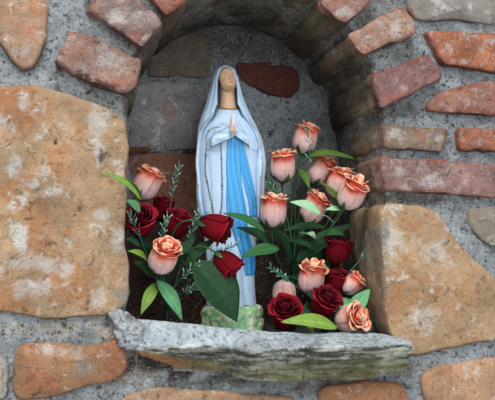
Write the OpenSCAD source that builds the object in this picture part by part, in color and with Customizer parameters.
// Wayside shrine: a free-standing pier of rubble stone and brick with an arched niche.
// The niche holds a cast figure of a praying woman and three bunches of artificial roses.
// Ground level is z = 0, the front of the pier faces -Y, and the origin is the middle of its foot.

/* [Masonry pier] */
// Width of the pier, side to side
wall_w = 1100; // [1060:10:1300]
// Depth of the pier, front to back
wall_d = 500; // [440:10:640]
// Height of the niche floor above the ground
sill_z = 860; // [700:10:1000]
// Masonry above the crown of the brick arch, up to the eaves
crown_cover = 110; // [80:5:200]
// Rise of the gable from the eaves to the ridge
gable_rise = 190; // [150:5:260]

/* [Rubble stones] */
// Usual width of a rubble stone
rubble_w = 150; // [130:5:190]
// Usual height of a rubble stone
rubble_h = 95; // [85:5:115]
// How far the stones stand proud of the mortar
rubble_relief = 8; // [5:1:12]

/* [Niche] */
// Clear width of the niche between its jambs
niche_w = 420; // [410:2:450]
// Height of the jambs, from the niche floor to the springing of the arch
jamb_h = 380; // [370:5:440]
// Depth of the niche, which is the length of an arch brick
niche_d = 250; // [240:5:300]

/* [Brickwork] */
// Width of a brick, which is the depth of the arch ring
brick_w = 120; // [100:2:140]
// Thickness of a brick
brick_t = 60; // [50:1:64]
// Mortar joint between bricks and stones
joint = 12; // [8:1:16]
// Number of bricks round the arch
arch_count = 9; // [7:1:9]
// Length of the brick laid along the face in the right jamb
stretcher_l = 250; // [230:5:270]

/* [Jamb stones] */
// Width on the face of the large left jamb stone
left_stone_w = 222; // [180:2:260]
// Width on the face of the right jamb stone
right_stone_w = 190; // [160:2:230]
// How far the jamb stones run back into the wall
jamb_stone_d = 160; // [120:5:200]

/* [Sill slab] */
// Thickness of the sill slab
sill_t = 48; // [36:1:70]
// How far the slab runs in under each jamb
sill_bearing = 24; // [15:1:60]
// How far the slab stands out from the wall face
sill_projection = 55; // [30:1:58]

/* [Roof] */
// Thickness of the roof slabs
slab_t = 45; // [30:1:60]
// Overhang of the roof past the side faces
side_overhang = 50; // [30:1:80]
// Overhang of the roof past the front and back faces
end_overhang = 60; // [60:1:90]
// Open joint between two roof slabs
slab_joint = 8; // [4:1:15]
// Width of the ridge stones
ridge_w = 190; // [150:5:240]
// Thickness of the ridge stones over the crest
ridge_t = 36; // [25:1:50]

/* [Figure] */
// Height of the figure from the niche floor to the crown of its veil
figure_h = 485; // [440:5:500]
// Width over the elbows
figure_w = 132; // [116:1:140]
// Depth of the cloak, front to back
figure_d = 80; // [66:1:84]
// Height of the rocky base under the gown
base_h = 50; // [40:1:60]
// Width of the rocky base
base_w = 114; // [100:1:120]
// Width of the sash tails
sash_t = 2.5; // [1.5:0.1:4]
// Diameter of a rosary bead
bead_d = 3; // [2:0.1:4]

/* [Artificial roses] */
// Width of a full rose head
rose_w = 52; // [44:1:54]
// Height of a full rose head
rose_h = 62; // [54:1:64]
// Diameter of a wired stem
stem_d = 3; // [2.4:0.1:3.2]
// Diameter of the moulded grip that joins the stems of a bunch
grip_d = 12; // [11:0.5:14]
// Thickness of a cloth leaf
leaf_t = 1; // [0.8:0.1:1.6]

/* [Hidden] */

$fn = 48;
eps = 0.01;

stone_grey = "#8e8f88";
stone_tan = "#b98f66";
brick_red = "#a4604a";
mortar_grey = "#9b9a92";
plaster_white = "#e8e8ea";
skin = "#c9a27c";
sash_blue = "#4f9fd8";
bead_grey = "#4a4b50";
base_green = "#9cc7a0";
leaf_green = "#3f7a3c";
stem_green = "#2f5a34";
rose_peach = "#f0a07a";
rose_red = "#8e1020";

front_y = -wall_d / 2;
half_w = wall_w / 2;
half_niche = niche_w / 2;
spring_z = sill_z + jamb_h;
ring_r = half_niche + brick_w;
eaves_z = spring_z + ring_r + crown_cover;
pitch = atan(gable_rise / half_w);
slab_rise = slab_t / cos(pitch);
mortar_recess = 4;

// Small helpers for points and directions
function unit(v) = v / norm(v);
function sum(list, i = 0) = i == len(list) - 1 ? list[i] : list[i] + sum(list, i + 1);
function mix(a, b, t) = a + (b - a) * t;
function depth(d) = front_y + d;
function roof_z(x) = eaves_z + gable_rise * (1 - abs(x) / half_w);

// A block from its low corner to its high corner
module block(low, high) {
    translate(low)
        cube(high - low);
}

// An outline in the plane of the front face, [x, z] points, run back from y0 to y1
module face_prism(outline, y0, y1) {
    translate([0, y1, 0])
        rotate([90, 0, 0])
            linear_extrude(height = y1 - y0)
                polygon(outline);
}

// Puts the z axis of its children along dir, at point p
module aim(p, dir) {
    d = unit(dir);
    translate(p)
        rotate([0, acos(d[2]), atan2(d[1], d[0])])
            children();
}

// Lofted skins. A ring is a closed list of points, and a sheet is rows of points with a thickness.
function quad(a, b, c, d) = [[a, b, c], [a, c, d]];

module loft(rings) {
    n = len(rings);
    m = len(rings[0]);
    middle = function (ring) sum(ring) / m;
    points = concat([for (ring = rings) each ring], [middle(rings[0]), middle(rings[n - 1])]);
    side = [for (i = [0:n - 2], j = [0:m - 1])
        each quad(i * m + j, (i + 1) * m + j, (i + 1) * m + (j + 1) % m, i * m + (j + 1) % m)];
    low = [for (j = [0:m - 1]) [n * m, j, (j + 1) % m]];
    high = [for (j = [0:m - 1]) [n * m + 1, (n - 1) * m + (j + 1) % m, (n - 1) * m + j]];
    polyhedron(points = points, faces = concat(side, low, high), convexity = 6);
}

module sheet(outer, inner) {
    n = len(outer);
    m = len(outer[0]);
    s = n * m;
    points = concat([for (row = outer) each row], [for (row = inner) each row]);
    face = [for (i = [0:n - 2], j = [0:m - 2])
        each quad(i * m + j, (i + 1) * m + j, (i + 1) * m + j + 1, i * m + j + 1)];
    back = [for (i = [0:n - 2], j = [0:m - 2])
        each quad(s + i * m + j, s + i * m + j + 1, s + (i + 1) * m + j + 1, s + (i + 1) * m + j)];
    first_row = [for (j = [0:m - 2]) each quad(j, j + 1, s + j + 1, s + j)];
    last_row = [for (j = [0:m - 2])
        each quad(s - m + j, 2 * s - m + j, 2 * s - m + j + 1, s - m + j + 1)];
    first_edge = [for (i = [0:n - 2]) each quad(i * m, s + i * m, s + (i + 1) * m, (i + 1) * m)];
    last_edge = [for (i = [0:n - 2])
        each quad((i + 1) * m - 1, (i + 2) * m - 1, s + (i + 2) * m - 1, s + (i + 1) * m - 1)];
    polyhedron(points = points, convexity = 6,
        faces = concat(face, back, first_row, last_row, first_edge, last_edge));
}

// Masonry pier

module sill_pocket() {
    reach = half_niche + sill_bearing;
    block([-reach, front_y - 1, sill_z - sill_t], [reach, depth(niche_d), sill_z + 1]);
}

// The faces of the pier are rubble: stones stand proud of a mortar core, and longer stones bond its
// corners. A face is looked at from outside, x from its left end and y up: 0 is the front, 1 the
// right, 2 the back, 3 the left. Corner k is the left end of face k. Level 0 is the foot of the pier,
// up to the sill, and level 1 goes on to the eaves. The front beside and above the niche lies flush.
rubble_joint = 1.5 * joint;
band_h = 150;
bond_courses = 6;
bond_long = 200;
bond_short = 132;
bond_narrow = 95;
cell_sides = 10;

// A number from 0 to 1 that is the same each time for the same three numbers
function dice(i, j, k) = let (n = sin(127.1 * i + 311.7 * j + 74.7 * k) * 43758.5453) n - floor(n);
function face_w(face) = face % 2 == 0 ? wall_w : wall_d;
function face_low(level) = level == 0 ? 0 : sill_z;
function face_high(face, level) = level == 1 ? eaves_z : face == 0 ? sill_z - band_h : sill_z;

// Bed of a course of corner stones: even courses with a little play. The last one of the foot is
// as high as the band beside the sill.
function bond_z(c, corner, level) =
    let (low = face_low(level), courses = bond_courses + level,
        step = ((level == 0 ? sill_z - band_h : eaves_z) - low) / courses)
    c > courses ? sill_z
    : low + step * c + (c > 0 && c < courses ? joint * (dice(c, corner + 4 * level, 1) - 0.5) : 0);

// Reach of a corner stone from its corner, ahead along its own face or back along the other one:
// long and short by turns, and narrow on the front beside the niche
function bond_reach(c, corner, ahead, level) =
    corner == (ahead ? 0 : 1) && (level == 0 ? c == bond_courses : c < bond_courses - 1) ? bond_narrow
    : ((c + corner + level) % 2 == (ahead ? 0 : 1) ? bond_long : bond_short)
        + 2 * joint * (dice(c, corner + 4 * level, ahead ? 2 : 3) - 0.5);

function bond_rects(face, level) =
    let (next = (face + 1) % 4, w = face_w(face))
    [for (c = [0:bond_courses]) each [
        [[0, bond_z(c, face, level)], [bond_reach(c, face, true, level), bond_z(c + 1, face, level)]],
        [[w - bond_reach(c, next, false, level), bond_z(c, next, level)], [w, bond_z(c + 1, next, level)]]]];

function nearest(p, rect) =
    [max(rect[0][0], min(rect[1][0], p[0])), max(rect[0][1], min(rect[1][1], p[1]))];

// Where the stones lie: staggered rows with some play, none on or close beside a corner stone
function rubble_seeds(face, level) =
    let (w = face_w(face), low = face_low(level), h = face_high(face, level) - low,
        rows = round(h / rubble_h), rects = bond_rects(face, level))
    [for (i = [0:rows - 1])
        let (count = round(w / (rubble_w * (0.85 + 0.35 * dice(i, 5, face + 4 * level)))))
        for (j = [0:count - 1])
            let (p = [(j + 0.5 + 0.5 * (dice(i, j, face + 10 + 4 * level) - 0.5)) * w / count,
                    low + (i + 0.5 + 0.4 * (dice(i, j, face + 20 + 4 * level) - 0.5)) * h / rows])
            if (min([for (r = rects) norm(p - nearest(p, r))]) > 0.4 * rubble_h) p];

// Outline of a stone. Each neighbour, corner stone and rim ends it at a line, and its reach in a
// direction is a soft least of the ways to those lines, less half a joint.
function rubble_outline(seed, seeds, rects, low, high) =
    let (lie = rubble_w / rubble_h,
        flat = function (v) [v[0] / lie, v[1]],
        lines = concat(
            [for (s = seeds) let (d = flat(s - seed)) if (norm(d) > 1 && norm(d) < 4 * rubble_h) d / 2],
            [for (r = rects) let (d = flat(nearest(seed, r) - seed)) if (norm(d) < 4 * rubble_h) d],
            [flat([0, low - seed[1]]), flat([0, high - seed[1]])]))
    [for (k = [0:cell_sides - 1])
        let (u = [cos(360 * k / cell_sides), sin(360 * k / cell_sides)],
            push = sum([for (d = lines) pow(max(0, d * u) / (d * d), 14)]),
            way = [u[0] * lie, u[1]])
        seed + way * pow(push, -1 / 14) - unit(way) * rubble_joint / 2];

module on_face(face) {
    turn = [[-1, -1], [1, -1], [1, 1], [-1, 1]][face];
    translate([turn[0] * half_w, turn[1] * wall_d / 2, 0])
        rotate([90, 0, 90 * face])
            children();
}

module rubble_face(face, level) {
    seeds = rubble_seeds(face, level);
    rects = bond_rects(face, level);
    root = rubble_relief + joint / 2;
    on_face(face)
        for (seed = seeds)
            translate([seed[0], seed[1], -root])
                linear_extrude(height = root, scale = 0.93)
                    polygon([for (p = rubble_outline(seed, seeds, rects, face_low(level), face_high(face, level)))
                        p - seed]);
}

module corner_stone(c, corner, level) {
    ahead = bond_reach(c, corner, true, level) - rubble_joint / 2;
    behind = bond_reach(c, corner, false, level) - rubble_joint / 2;
    low = bond_z(c, corner, level) + (c + level == 0 ? 0 : rubble_joint / 2);
    high = bond_z(c + 1, corner, level) - rubble_joint / 2;
    on_face(corner)
        translate([0, low, -behind])
            cube([ahead, high - low, behind]);
}

module stones(level) {
    for (face = [level:3])
        rubble_face(face, level);
    for (corner = [0:3], c = [0:bond_courses])
        corner_stone(c, corner, level);
}

module plinth_wall() {
    r = rubble_relief;
    color(stone_tan)
        difference() {
            union() {
                block([-half_w + r, front_y + r, 0], [half_w - r, -front_y - r, sill_z]);
                block([-half_w + r, front_y, sill_z - band_h], [half_w - r, front_y + r + 1, sill_z]);
                stones(0);
            }
            sill_pocket();
        }
}

// A wall over the foot, between two corners: its mortar core and its share of the stones
module rubble_block(low, high) {
    r = rubble_relief;
    intersection() {
        block(low, high);
        union() {
            block([-half_w + r, front_y, sill_z], [half_w - r, -front_y - r, eaves_z]);
            stones(1);
        }
    }
}

module left_wall() {
    color(stone_tan)
        difference() {
            rubble_block([-half_w, front_y, sill_z], [-half_niche, depth(niche_d), spring_z]);
            face_prism(left_stone_outline(), front_y - 1, depth(jamb_stone_d));
        }
}

module right_wall() {
    color(stone_tan)
        difference() {
            rubble_block([half_niche, front_y, sill_z], [half_w, depth(niche_d), spring_z]);
            face_prism(right_stone_outline(), front_y - 1, depth(jamb_stone_d));
            jamb_brick_shapes();
        }
}

module rear_wall() {
    color(stone_tan)
        rubble_block([-half_w, depth(niche_d), sill_z], [half_w, -front_y, eaves_z]);
}

module head_wall() {
    color(stone_tan)
        difference() {
            rubble_block([-half_w, front_y, spring_z], [half_w, depth(niche_d), eaves_z]);
            translate([0, front_y - 1, spring_z])
                rotate([-90, 0, 0])
                    cylinder(r = ring_r, h = niche_d + 2, $fn = 120);
        }
}

module gable_wall() {
    color(stone_tan)
        face_prism([[-half_w, eaves_z], [half_w, eaves_z], [0, eaves_z + gable_rise]],
            front_y, -front_y);
}

// The two jamb stones, as outlines on the front face. Their inner edges are the niche's jambs.
stone_bed = 22;
stone_slant = 14;

function left_stone_outline() =
    let (x = -half_niche, z0 = sill_z + stone_bed, z1 = spring_z - mortar_recess)
    [[x, z0], [x, z1 - stone_slant], [x - stone_slant, z1], [x - left_stone_w, z1],
        [x - left_stone_w - stone_slant, z0 + stone_slant], [x - left_stone_w / 2, z0 - stone_slant / 2]];

top_course_z = spring_z - mortar_recess - brick_t;
low_course_z = top_course_z - joint - brick_t;

function right_stone_outline() =
    let (x = half_niche, z0 = sill_z + mortar_recess, z1 = low_course_z - joint)
    [[x, z0], [x + right_stone_w / 2, z0], [x + right_stone_w, z0 + stone_bed],
        [x + right_stone_w - stone_slant, z1 - 4 * stone_slant], [x + right_stone_w / 2, z1 - stone_slant],
        [x + stone_slant, z1], [x, z1]];

module left_jamb_stone() {
    color(stone_tan)
        face_prism(left_stone_outline(), front_y, depth(jamb_stone_d));
}

module right_jamb_stone() {
    color(stone_tan)
        face_prism(right_stone_outline(), front_y, depth(jamb_stone_d));
}

// Two courses over the right jamb stone: a brick along the face, and a header above it
module jamb_brick_shapes() {
    block([half_niche, front_y, low_course_z],
        [half_niche + stretcher_l, depth(brick_w), low_course_z + brick_t]);
    block([half_niche, front_y, top_course_z],
        [half_niche + brick_w, depth(jamb_stone_d), top_course_z + brick_t]);
}

module right_jamb_bricks() {
    color(brick_red)
        jamb_brick_shapes();
}

// The arch ring: rectangular bricks on their edges, with wedges of mortar between them
module ring_sector(r) {
    translate([0, front_y, spring_z])
        rotate([-90, 0, 0])
            difference() {
                cylinder(r = ring_r, h = niche_d, $fn = 120);
                translate([0, 0, -1])
                    cylinder(r = r, h = niche_d + 2, $fn = 120);
                translate([-2 * ring_r, 0, -1])
                    cube([4 * ring_r, 2 * ring_r, niche_d + 2]);
            }
}

module arch_brick_block(i, extra = 0) {
    translate([0, front_y - extra, spring_z])
        rotate([0, -(i + 0.5) * 180 / arch_count, 0])
            translate([half_niche - extra, 0, -brick_t / 2])
                cube([2 * brick_w, niche_d + 2 * extra, brick_t]);
}

module arch_bricks() {
    color(brick_red)
        for (i = [0:arch_count - 1])
            intersection() {
                arch_brick_block(i);
                translate([0, front_y, spring_z])
                    rotate([-90, 0, 0])
                        cylinder(r = ring_r, h = niche_d, $fn = 120);
            }
}

module arch_mortar() {
    color(mortar_grey)
        difference() {
            ring_sector(half_niche + mortar_recess);
            for (i = [0:arch_count - 1])
                arch_brick_block(i, 1);
        }
}

// Sill slab: its front edge is broken, and its ends run in under the jambs
module sill_slab() {
    w = half_niche + sill_bearing;
    p = sill_projection;
    outline = [[-w, niche_d], [-w, -0.55 * p], [-0.8 * w, -0.9 * p], [-0.3 * w, -p],
        [0.35 * w, -0.92 * p], [0.8 * w, -p], [w, -0.5 * p], [w, niche_d]];
    color(stone_grey)
        translate([0, front_y, sill_z - sill_t])
            linear_extrude(height = sill_t)
                polygon(outline);
}

// Roof of four stone slabs and two ridge stones, laid on the gable
slab_split = [22, -34];

module roof_slab(side, y0, y1) {
    x0 = slab_joint / 2;
    x1 = half_w + side_overhang;
    outline = [[x0, roof_z(x0)], [x1, roof_z(x1)], [x1, roof_z(x1) + slab_rise], [x0, roof_z(x0) + slab_rise]];
    color(stone_grey)
        mirror([side < 0 ? 1 : 0, 0, 0])
            face_prism(outline, y0, y1);
}

module ridge_stone(y0, y1) {
    h = ridge_w / 2;
    top = roof_z(0) + slab_rise;
    foot = roof_z(h) + slab_rise;
    outline = [[-h, foot], [-slab_joint / 2, roof_z(slab_joint / 2) + slab_rise],
        [slab_joint / 2, roof_z(slab_joint / 2) + slab_rise], [h, foot],
        [0.8 * h, foot + 0.8 * ridge_t], [0, top + ridge_t], [-0.8 * h, foot + 0.8 * ridge_t]];
    color(stone_grey)
        face_prism(outline, y0, y1);
}

roof_front = front_y - end_overhang;
roof_rear = -roof_front;

// Figure. It stands on the niche floor, facing the front, a little left of the middle.
figure_x = -25;
figure_depth = 140;
figure_clear = 0.3;

function figure_point(p) = [figure_x + p[0], depth(figure_depth) + p[1], sill_z + p[2]];

// Heights are shares of the body's height over the base, and widths are shares of the elbow width.
function body_z(s) = base_h + s * (figure_h - base_h);

// Half width and half depth of the gown, neck and head at each height share
core_width = [[0, 0.33], [0.12, 0.32], [0.24, 0.345], [0.39, 0.4], [0.5, 0.41], [0.6, 0.4], [0.68, 0.36],
    [0.75, 0.28], [0.78, 0.2], [0.805, 0.095], [0.85, 0.085], [0.875, 0.1], [0.9, 0.125], [0.935, 0.13],
    [0.965, 0.105], [0.985, 0.04]];
core_depth = [[0, 0.42], [0.12, 0.38], [0.24, 0.37], [0.39, 0.38], [0.5, 0.39], [0.6, 0.38], [0.68, 0.36],
    [0.75, 0.28], [0.78, 0.2], [0.805, 0.14], [0.85, 0.14], [0.875, 0.18], [0.9, 0.215], [0.935, 0.225],
    [0.965, 0.185], [0.985, 0.07]];
// Half width and half depth of the cloak and veil
cloak_width = [[0.03, 0.36], [0.33, 0.385], [0.36, 0.42], [0.43, 0.46], [0.52, 0.48], [0.58, 0.5], [0.63, 0.487],
    [0.71, 0.45], [0.77, 0.38], [0.84, 0.275], [0.9, 0.21], [0.96, 0.165], [0.985, 0.1], [1, 0.03]];
cloak_depth = [[0.03, 0.47], [0.33, 0.49], [0.6, 0.5], [0.71, 0.45], [0.77, 0.38], [0.84, 0.31],
    [0.9, 0.3], [0.96, 0.25], [0.985, 0.15], [1, 0.04]];
// Angle from straight ahead to each front edge of the cloak
cloak_edge = [[0.03, 100], [0.32, 95], [0.36, 62], [0.45, 56], [0.58, 52], [0.7, 50], [0.78, 46], [0.82, 38],
    [0.9, 42], [0.94, 40], [0.965, 26], [0.985, 8], [1, 4]];

function fold(angle, s) = s > 0.78 ? 0 : 0.012 * figure_w * (1 - s) * sin(11 * angle + 60 * s);
function oval(angle, a, b) = [a * sin(angle), -b * cos(angle)];
function core(angle, s, out = 0) =
    let (f = fold(angle, s) + out,
        p = oval(angle, lookup(s, core_width) * figure_w + f, lookup(s, core_depth) * figure_d + f))
    [p[0], p[1], body_z(s)];
function cloak(angle, s) =
    let (p = oval(angle, lookup(s, cloak_width) * figure_w, lookup(s, cloak_depth) * figure_d))
    [p[0], p[1], body_z(s)];

turns = 40;
neck_s = 0.805;
crown_s = 0.985;

module core_loft(levels) {
    loft([for (s = levels) [for (k = [0:turns - 1]) figure_point(core(k * 360 / turns, s))]]);
}

module figure_base() {
    levels = [[0, 1], [0.35, 1.0], [0.7, 0.92], [0.9, 0.84], [1, 0.78]];
    color(base_green)
        loft([for (l = levels) [for (k = [0:turns - 1])
            let (a = k * 360 / turns, r = base_w / 2 * l[1] * (1 - 0.035 * (1 + sin(5 * a + 140 * l[0]))))
            figure_point([r * sin(a), -r * cos(a), base_h * l[0]])]]);
}

module figure_gown() {
    color(plaster_white)
        core_loft([for (s = [0, 0.06, 0.12, 0.18, 0.24, 0.31, 0.39, 0.45, 0.5, 0.55, 0.6, 0.64, 0.68, 0.72, 0.75, 0.78, neck_s]) s]);
}

module figure_head() {
    color(skin)
        core_loft([neck_s, 0.83, 0.85, 0.875, 0.9, 0.92, 0.935, 0.95, 0.965, 0.977, crown_s]);
}

module figure_cloak() {
    levels = [0.03, 0.1, 0.18, 0.26, 0.32, 0.36, 0.4, 0.43, 0.48, 0.52, 0.58, 0.63, 0.67, 0.71, 0.74, 0.77, 0.8,
        0.84, 0.87, 0.9, 0.93, 0.96, 0.985, 1];
    columns = 30;
    angle = function (j, s) let (e = lookup(s, cloak_edge)) e + (360 - 2 * e) * j / columns;
    inner = function (j, s) s < crown_s + eps
        ? core(angle(j, s), s, figure_clear)
        : concat(oval(angle(j, s), 0.6, 0.6), [body_z(crown_s) + figure_clear]);
    color(plaster_white)
        sheet([for (s = levels) [for (j = [0:columns]) figure_point(cloak(angle(j, s), s))]],
            [for (s = levels) [for (j = [0:columns]) figure_point(inner(j, s))]]);
}

// Forearms in wide sleeves, as relief on the front of the gown. They rise from the elbows to the hands.
hand_s = 0.69;
elbow_s = 0.6;

function arm_height(angle) = hand_s - (hand_s - elbow_s) * pow(abs(angle) / 46, 1.2);
function sleeve_out(angle, s) =
    let (d = (s - arm_height(angle)) * (figure_h - base_h))
    figure_clear + 1 + 0.2 * figure_d * exp(-pow(d / (d < 0 ? 20 : 11), 2));

module figure_sleeves() {
    rows = 14;
    columns = 24;
    angle = function (j) (lookup(arm_height(46), cloak_edge) - 4) * (2 * j / columns - 1);
    level = function (i, a) arm_height(a)
        + mix(-12 - 10 * abs(a) / 46, 15, i / rows) / (figure_h - base_h);
    color(plaster_white)
        sheet([for (i = [0:rows]) [for (j = [0:columns])
                let (a = angle(j), s = level(i, a)) figure_point(core(a, s, sleeve_out(a, s)))]],
            [for (i = [0:rows]) [for (j = [0:columns])
                let (a = angle(j), s = level(i, a)) figure_point(core(a, s, figure_clear))]]);
}

// Two palms together, standing just in front of the sleeves where the forearms meet
module figure_hands() {
    h = 0.078 * (figure_h - base_h);
    foot = core(0, hand_s, sleeve_out(0, hand_s));
    half_d = 0.055 * figure_w;
    sections = [[0, 0.9, 0.95], [0.25, 1, 1], [0.55, 0.9, 0.9], [0.8, 0.65, 0.7], [0.95, 0.4, 0.45], [1, 0.15, 0.2]];
    color(skin)
        loft([for (l = sections) [for (k = [0:17])
            figure_point([0.045 * figure_w * l[1] * sin(20 * k),
                foot[1] - 0.1 - half_d * (0.95 + 0.15 * l[0]) - half_d * l[2] * cos(20 * k), foot[2] + l[0] * h])]]);
}

// The sash: two tails, as bands on the gown. Edges are in shares of the elbow width from the middle.
left_tail = [[0.13, 0.13, 0.28], [0.24, 0.06, 0.25], [0.39, -0.02, 0.19], [0.47, -0.05, 0.13],
    [0.52, -0.06, 0.11], [0.58, -0.07, 0.09], [0.62, -0.07, 0.08]];
right_tail = [[0.39, 0.24, 0.33], [0.43, 0.22, 0.32], [0.47, 0.17, 0.3], [0.52, 0.14, 0.26], [0.58, 0.11, 0.2]];

function on_gown(x, s, out) =
    let (a = lookup(s, core_width) * figure_w) core(asin(max(-0.97, min(0.97, x / a))), s, out);

module sash_tail(tail) {
    columns = 5;
    levels = [for (t = tail) t[0]];
    left = [for (t = tail) [t[0], t[1]]];
    right = [for (t = tail) [t[0], t[2]]];
    x = function (j, s) figure_w * mix(lookup(s, left), lookup(s, right), j / columns);
    sheet([for (s = levels) [for (j = [0:columns]) figure_point(on_gown(x(j, s), s, figure_clear + sash_t))]],
        [for (s = levels) [for (j = [0:columns]) figure_point(on_gown(x(j, s), s, figure_clear))]]);
}

module figure_sash() {
    color(sash_blue) {
        sash_tail(left_tail);
        sash_tail(right_tail);
    }
}

// The rosary hangs in a loop from the forearm. Its beads lie on the gown.
rosary_top_s = 0.55;
rosary_low_s = 0.33;
rosary_x = [-0.32, -0.12];
bead_pitch = 1.5 * bead_d;

function rosary_path(t) =
    t < 1 ? [rosary_x[0] + 0.05 * t, mix(rosary_top_s, rosary_low_s + 0.03, t)]
    : t < 2 ? let (a = 180 * (t - 1))
        [mix(rosary_x[0] + 0.05, rosary_x[1], (1 - cos(a)) / 2), rosary_low_s + 0.03 - 0.03 * sin(a)]
    : [rosary_x[1], mix(rosary_low_s + 0.03, rosary_top_s, t - 2)];

module figure_rosary() {
    strand = (rosary_top_s - rosary_low_s - 0.03) * (figure_h - base_h);
    curve = 1.3 * (rosary_x[1] - rosary_x[0]) * figure_w;
    along = floor(strand / bead_pitch);
    round_count = floor(curve / bead_pitch);
    steps = concat([for (i = [0:along - 1]) i / along], [for (i = [0:round_count - 1]) 1 + i / round_count],
        [for (i = [0:along]) 2 + i / along]);
    color(bead_grey)
        for (t = steps) {
            q = rosary_path(t);
            translate(figure_point(on_gown(q[0] * figure_w, q[1], bead_d / 2 + 0.5)))
                sphere(d = bead_d, $fn = 24);
        }
}

// Artificial roses. Each bunch has a grip standing on the niche floor, and one stem to each rose.
// A rose is [offset of its middle from the grip's foot (right, back, up), direction it opens, size].
edge_foot = 70;
middle_foot = 110;
left_foot = [-half_niche + edge_foot, 150];
left_grip_h = 50;
left_peach = [
    [[-32, -55, 266], [0.35, -0.1, 0.93], 1],
    [[-10, -112, 143], [0.2, -0.55, 0.8], 1]];
left_red = [
    [[-41, -90, 201], [-0.05, -0.85, 0.5], 0.95],
    [[-1, 2, 228], [0.1, -0.2, 0.97], 0.75],
    [[20, -32, 200], [0.35, -0.3, 0.87], 0.9],
    [[72, -104, 188], [0.85, -0.25, -0.3], 0.95],
    [[94, -112, 128], [0.75, -0.15, -0.6], 0.85]];

tall_foot = [half_niche - middle_foot, 185];
tall_grip_h = 50;
tall_peach = [
    [[25, -20, 357], [0.25, -0.1, 0.96], 1],
    [[-26, -45, 303], [0, -0.2, 0.98], 1],
    [[56, -15, 297], [0.5, -0.1, 0.86], 1],
    [[76, -65, 270], [0.2, -0.1, 0.97], 1],
    [[75, -135, 245], [0.35, -0.45, 0.82], 1],
    [[-57, -95, 218], [0.05, -0.2, 0.98], 1],
    [[33, -45, 224], [0.4, -0.35, 0.85], 1]];

low_foot = [half_niche - edge_foot, 115];
low_grip_h = 40;
low_peach = [
    [[38, 35, 84], [0.55, -0.3, 0.75], 0.8],
    [[-32, -35, 100], [0.1, -0.35, 0.93], 1],
    [[-72, 3, 68], [-0.3, 0.2, -0.93], 0.85],
    [[22, -80, 33], [0.7, -0.65, 0.3], 1]];
low_red = [
    [[29, 5, 142], [0.15, -0.15, 0.97], 0.95],
    [[23, -23, 88], [0, -0.35, 0.93], 0.8],
    [[-87, -55, 42], [-0.2, -0.8, 0.5], 1],
    [[-18, -54, 58], [0.3, -0.75, 0.6], 0.95]];

function bunch_point(foot, p) = [foot[0] + p[0], depth(foot[1] + p[1]), sill_z + p[2]];

// Where the stem meets the rose
function rose_base(foot, rose) = bunch_point(foot, rose[0] - unit(rose[1]) * rose_h / 2 * rose[2]);

// Stems start side by side in the top of the grip, in the order of the directions they lean in
function azimuth(rose) = atan2(rose[0][1], rose[0][0]);
function rank(list, i) = len([for (r = list) if (azimuth(r) < azimuth(list[i])) 1]);
function stem_start(foot, grip_h, list, i) =
    let (a = 360 * (rank(list, i) + 0.5) / len(list) - 180, r = grip_d / 2 - stem_d / 2 - 0.3)
    bunch_point(foot, [r * cos(a), r * sin(a), grip_h - 2]);

// A stem leaves the grip upright and runs into the rose along the rose's own axis
function stem_point(foot, grip_h, list, i, t) =
    let (p = stem_start(foot, grip_h, list, i), q = rose_base(foot, list[i]), l = norm(q - p),
        b = p + [0, 0, 0.4 * l], c = q - unit(list[i][1]) * 0.35 * l, s = 1 - t)
    s * s * s * p + 3 * s * s * t * b + 3 * s * t * t * c + t * t * t * q;

// Section of a rose head, as shares of its full width and height: cup, rolled rim and folded middle
rose_outline = [[0, 0], [0.06, 0], [0.17, 0.06], [0.36, 0.22], [0.45, 0.45], [0.45, 0.68], [0.5, 0.88],
    [0.47, 0.94], [0.37, 0.9], [0.3, 0.82], [0.2, 0.84], [0.14, 0.97], [0.06, 1], [0, 1]];

module rose(foot, spec) {
    aim(rose_base(foot, spec), spec[1])
        rotate_extrude($fn = 40)
            polygon([for (p = rose_outline) [p[0] * rose_w * spec[2], p[1] * rose_h * spec[2]]]);
}

module roses(foot, list) {
    for (spec = list)
        rose(foot, spec);
}

stem_steps = 8;
stem_sides = 8;

module stem(foot, grip_h, list, i) {
    path = [for (k = [0:stem_steps]) stem_point(foot, grip_h, list, i, k / stem_steps)];
    tangent = [for (k = [0:stem_steps])
        unit(k == 0 ? [0, 0, 1] : k == stem_steps ? list[i][1] : path[k + 1] - path[k - 1])];
    loft([for (k = [0:stem_steps])
        let (u = unit(cross(tangent[k], [0.3, 0.9, 0.1])), v = cross(tangent[k], u))
        [for (j = [0:stem_sides - 1]) path[k] + (u * cos(360 * j / stem_sides) + v * sin(360 * j / stem_sides)) * stem_d / 2]]);
}

module stems(foot, grip_h, list) {
    color(stem_green) {
        translate(bunch_point(foot, [0, 0, 0]))
            cylinder(d = grip_d, h = grip_h);
        for (i = [0:len(list) - 1])
            stem(foot, grip_h, list, i);
    }
}

// A leaf is [stem number, share of the way along it, run from there to the tip, width]
left_leaves = [
    [0, 0.92, [-17, -86, 42], 15],
    [2, 0.78, [-34, -16, 14], 20],
    [1, 0.87, [-38, -10, 26], 24],
    [1, 0.7, [-29, -27, -50], 20],
    [1, 0.8, [40, -13, -67], 26],
    [6, 0.72, [66, -2, -112], 62],
    [6, 0.48, [-8, -46, 14], 28],
    [3, 0.6, [-38, 20, -24], 26]];
tall_leaves = [
    [0, 0.97, [90, -52, 6], 21],
    [0, 0.9, [12, -30, -40], 18],
    [1, 0.82, [-46, 30, 66], 15],
    [6, 0.82, [12, -55, -5], 22],
    [5, 0.7, [-78, -46, 44], 28],
    [5, 0.3, [-58, -34, -4], 28],
    [1, 0.2, [-46, -44, 96], 22],
    [1, 0.48, [34, -58, -14], 26],
    [3, 0.62, [36, -46, 4], 26],
    [1, 0.68, [-44, -6, 44], 22]];
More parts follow.
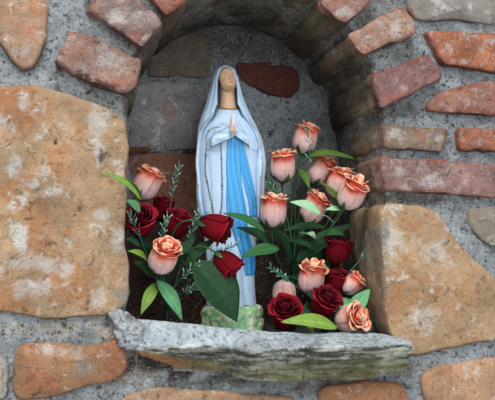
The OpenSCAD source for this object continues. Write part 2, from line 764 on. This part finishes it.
low_leaves = [
    [6, 0.6, [6, -78, -14], 24],
    [3, 0.5, [54, -2, 14], 28],
    [2, 0.6, [-8, 34, 2], 20],
    [4, 0.6, [-26, 24, 22], 20]];

leaf_steps = 7;
leaf_face = unit([0.1, -0.75, 0.65]);

function leaf_width(v) = 0.08 + 0.92 * sin(180 * pow(v, 0.8));
function leaf_rows(p, run, w, drop) =
    let (dir = unit(run), side = unit(cross(dir, leaf_face)), up = unit(cross(side, dir)))
    [for (i = [0:leaf_steps])
        let (v = 0.985 * i / leaf_steps, mid = p + run * v + up * (0.12 * norm(run) * sin(180 * v)) - up * drop,
            h = w / 2 * leaf_width(v))
        [mid - side * h + up * 0.25 * h, mid, mid + side * h + up * 0.25 * h]];

module leaves(foot, grip_h, list, plan) {
    color(leaf_green)
        for (leaf = plan) {
            run = [leaf[2][0], leaf[2][1], leaf[2][2]];
            p = stem_point(foot, grip_h, list, leaf[0], leaf[1]);
            way = unit(stem_point(foot, grip_h, list, leaf[0], leaf[1] + 0.02) - p);
            start = p + unit(run - way * (run * way)) * 0.46 * stem_d;
            sheet(leaf_rows(start, run, leaf[3], 0), leaf_rows(start, run, leaf[3], leaf_t));
        }
}

left_roses = concat(left_peach, left_red);
tall_roses = tall_peach;
low_roses = concat(low_peach, low_red);

plinth_wall();
left_wall();
right_wall();
rear_wall();
head_wall();
gable_wall();
arch_bricks();
arch_mortar();
left_jamb_stone();
right_jamb_stone();
right_jamb_bricks();
sill_slab();
roof_slab(-1, roof_front, slab_split[0] - slab_joint / 2);  // roof_slab_left_front
roof_slab(-1, slab_split[0] + slab_joint / 2, roof_rear);  // roof_slab_left_rear
roof_slab(1, roof_front, slab_split[1] - slab_joint / 2);  // roof_slab_right_front
roof_slab(1, slab_split[1] + slab_joint / 2, roof_rear);  // roof_slab_right_rear
ridge_stone(roof_front, -slab_joint / 2);  // ridge_stone_front
ridge_stone(slab_joint / 2, roof_rear);  // ridge_stone_rear
figure_base();
figure_gown();
figure_head();
figure_cloak();
figure_sleeves();
figure_hands();
figure_sash();
figure_rosary();
stems(left_foot, left_grip_h, left_roses);  // left_bunch_stems
leaves(left_foot, left_grip_h, left_roses, left_leaves);  // left_bunch_leaves
color(rose_peach) roses(left_foot, left_peach);  // left_bunch_peach_roses
color(rose_red) roses(left_foot, left_red);  // left_bunch_red_roses
stems(tall_foot, tall_grip_h, tall_roses);  // tall_bunch_stems
leaves(tall_foot, tall_grip_h, tall_roses, tall_leaves);  // tall_bunch_leaves
color(rose_peach) roses(tall_foot, tall_peach);  // tall_bunch_peach_roses
stems(low_foot, low_grip_h, low_roses);  // low_bunch_stems
leaves(low_foot, low_grip_h, low_roses, low_leaves);  // low_bunch_leaves
color(rose_peach) roses(low_foot, low_peach);  // low_bunch_peach_roses
color(rose_red) roses(low_foot, low_red);  // low_bunch_red_roses
